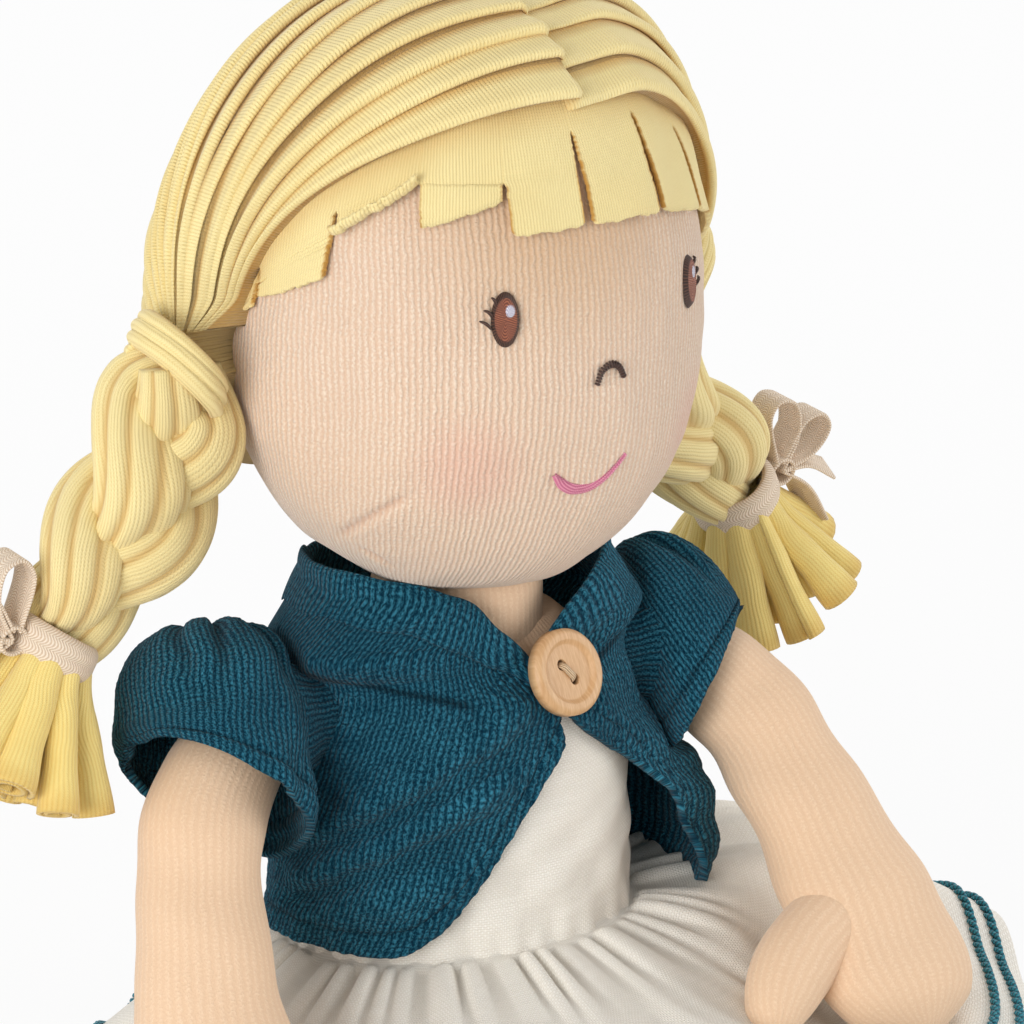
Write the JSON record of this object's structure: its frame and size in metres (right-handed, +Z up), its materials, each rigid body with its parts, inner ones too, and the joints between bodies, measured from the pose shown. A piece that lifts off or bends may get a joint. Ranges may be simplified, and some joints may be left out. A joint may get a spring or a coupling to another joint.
{
  "type": "rag doll",
  "caption": "Seated stuffed cloth doll with a round head, plaited jersey hair, an open bolero with puff sleeves and a gathered linen skirt.",
  "frame": {"origin": "middle of the flat seat, on the surface the doll sits on", "axes": "+Z up, the doll faces -Y, its left side is +X"},
  "size_m": [0.2221, 0.3004, 0.2386],
  "materials": {
    "skin": "peach velour with fine ribs",
    "linen": "cream plain-woven linen",
    "velour": "teal velour with a short pile",
    "jersey": "pale yellow rolled jersey",
    "tape": "cream woven tape",
    "brown_thread": "dark brown satin stitch",
    "pink_thread": "pink satin stitch",
    "wood": "light wood, oiled"
  },
  "bodies": {
    "torso": {"torso": "skin", "dress_bodice": "linen", "dress_skirt": "linen", "bolero_back": "velour", "bolero_front_right": "velour", "bolero_front_left": "velour", "bolero_collar": "velour", "button": "wood"},
    "neck": {"neck": "skin"},
    "head": {"head": "skin", "eye_right": "brown_thread", "eye_left": "brown_thread", "nose": "brown_thread", "mouth": "pink_thread", "fringe": "jersey", "hair_right": "jersey", "hair_left": "jersey"},
    "arm_right": {"arm_right": "skin", "sleeve_right": "velour"},
    "arm_left": {"arm_left": "skin", "sleeve_left": "velour"},
    "leg_right": {"leg_right": "skin"},
    "leg_left": {"leg_left": "skin"},
    "plait_right": {"plait_wrap_right": "jersey", "plait_strand_right_1": "jersey", "plait_strand_right_2": "jersey", "plait_strand_right_3": "jersey", "plait_tape_right": "tape", "plait_bow_right": "tape", "plait_tuft_right": "jersey"},
    "plait_left": {"plait_wrap_left": "jersey", "plait_strand_left_1": "jersey", "plait_strand_left_2": "jersey", "plait_strand_left_3": "jersey", "plait_tape_left": "tape", "plait_bow_left": "tape", "plait_tuft_left": "jersey"}
  },
  "joints": [
    {"name": "head_turn", "type": "hinge", "parent": "torso", "child": "neck", "pos_m": [0, 0, 0.106], "axis": [0, 0, 1], "range_deg": [-15, 15]},
    {"name": "head_nod", "type": "hinge", "parent": "neck", "child": "head", "pos_m": [0, 0, 0.112], "axis": [1, 0, 0], "range_deg": [-8, 8]},
    {"name": "arm_right_lift", "type": "hinge", "parent": "torso", "child": "arm_right", "pos_m": [0, 0, 0.091], "axis": [-1, 0, 0], "range_deg": [0, 75]},
    {"name": "arm_left_lift", "type": "hinge", "parent": "torso", "child": "arm_left", "pos_m": [0, 0, 0.091], "axis": [-1, 0, 0], "range_deg": [0, 65]},
    {"name": "leg_right_drop", "type": "hinge", "parent": "torso", "child": "leg_right", "pos_m": [-0.018, -0.031, 0.008], "axis": [1, 0, 0], "range_deg": [0, 80]},
    {"name": "leg_left_drop", "type": "hinge", "parent": "torso", "child": "leg_left", "pos_m": [0.018, -0.031, 0.008], "axis": [1, 0, 0], "range_deg": [0, 80]},
    {"name": "plait_right_swing", "type": "hinge", "parent": "head", "child": "plait_right", "pos_m": [-0.06191, 0.00025, 0.167], "axis": [-0.1219, 0.9925, 0], "range_deg": [0, 60]},
    {"name": "plait_left_swing", "type": "hinge", "parent": "head", "child": "plait_left", "pos_m": [0.05929, 0.01513, 0.167], "axis": [-0.1219, -0.9925, 0], "range_deg": [0, 60]}
  ]
}
